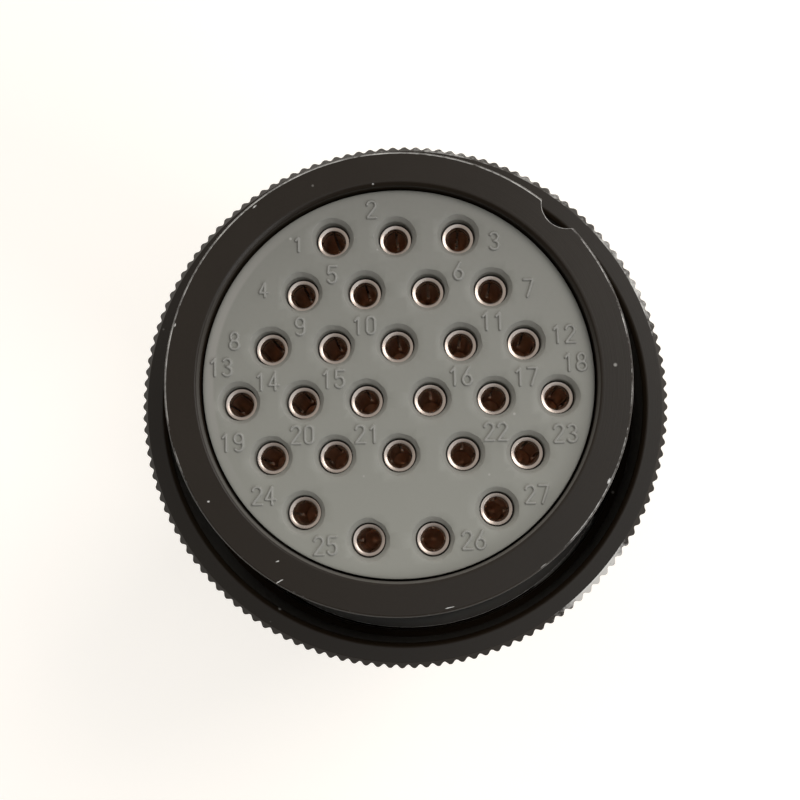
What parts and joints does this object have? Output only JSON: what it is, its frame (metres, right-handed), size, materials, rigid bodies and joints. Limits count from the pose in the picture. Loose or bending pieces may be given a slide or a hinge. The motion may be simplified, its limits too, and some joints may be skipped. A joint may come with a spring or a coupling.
{
  "type": "seismic cable connector",
  "caption": "Circular multi-contact cable plug: keyed black barrel with numbered socket contacts in a grey insert, knurled coupling ring that spins, hollow backshell and cable gland.",
  "frame": {"origin": "centre of the gland nut's end face, which the plug stands on", "axes": "+Z along the plug's axis towards its mating face, +X along the contact rows, with contact 1 in the top left corner when seen from the mating face with +Y up"},
  "size_m": [0.0452, 0.0452, 0.0933],
  "materials": {
    "black_metal": "satin black anodised, edges worn bright",
    "bare_metal": "plain turned",
    "spring_steel": "dark oiled",
    "washer_steel": "plain",
    "insert_grey": "satin moulded grey",
    "insulator_dark": "satin moulded dark grey",
    "black_rubber": "matt",
    "hood_steel": "bright drawn",
    "contact_brass": "plated, dulled"
  },
  "bodies": {
    "plug_body": {"plug_shell": "black_metal", "backshell": "black_metal", "gland_nut": "black_metal", "insert_nut": "bare_metal", "coupling_retainer": "spring_steel", "coupling_washer": "washer_steel", "gland_seat_washer": "washer_steel", "gland_follower": "washer_steel", "insert_face": "insert_grey", "socket_insert": "insert_grey", "rear_insulator": "insulator_dark", "insert_oring": "black_rubber", "backshell_oring": "black_rubber", "interface_gasket": "black_rubber", "gland_bushing": "black_rubber", "contact_hoods": "hood_steel", "socket_contact_01": "contact_brass", "socket_contact_02": "contact_brass", "socket_contact_03": "contact_brass", "socket_contact_04": "contact_brass", "socket_contact_05": "contact_brass", "socket_contact_06": "contact_brass", "socket_contact_07": "contact_brass", "socket_contact_08": "contact_brass", "socket_contact_09": "contact_brass", "socket_contact_10": "contact_brass", "socket_contact_11": "contact_brass", "socket_contact_12": "contact_brass", "socket_contact_13": "contact_brass", "socket_contact_14": "contact_brass", "socket_contact_15": "contact_brass", "socket_contact_16": "contact_brass", "socket_contact_17": "contact_brass", "socket_contact_18": "contact_brass", "socket_contact_19": "contact_brass", "socket_contact_20": "contact_brass", "socket_contact_21": "contact_brass", "socket_contact_22": "contact_brass", "socket_contact_23": "contact_brass", "socket_contact_24": "contact_brass", "socket_contact_25": "contact_brass", "socket_contact_26": "contact_brass", "socket_contact_27": "contact_brass"},
    "ring": {"coupling_ring": "black_metal", "coupling_bearing": "washer_steel"}
  },
  "joints": [
    {"name": "coupling_ring_spin", "type": "hinge", "parent": "plug_body", "child": "ring", "pos_m": [0, 0, 0.069], "axis": [0, 0, 1], "continuous": true}
  ]
}
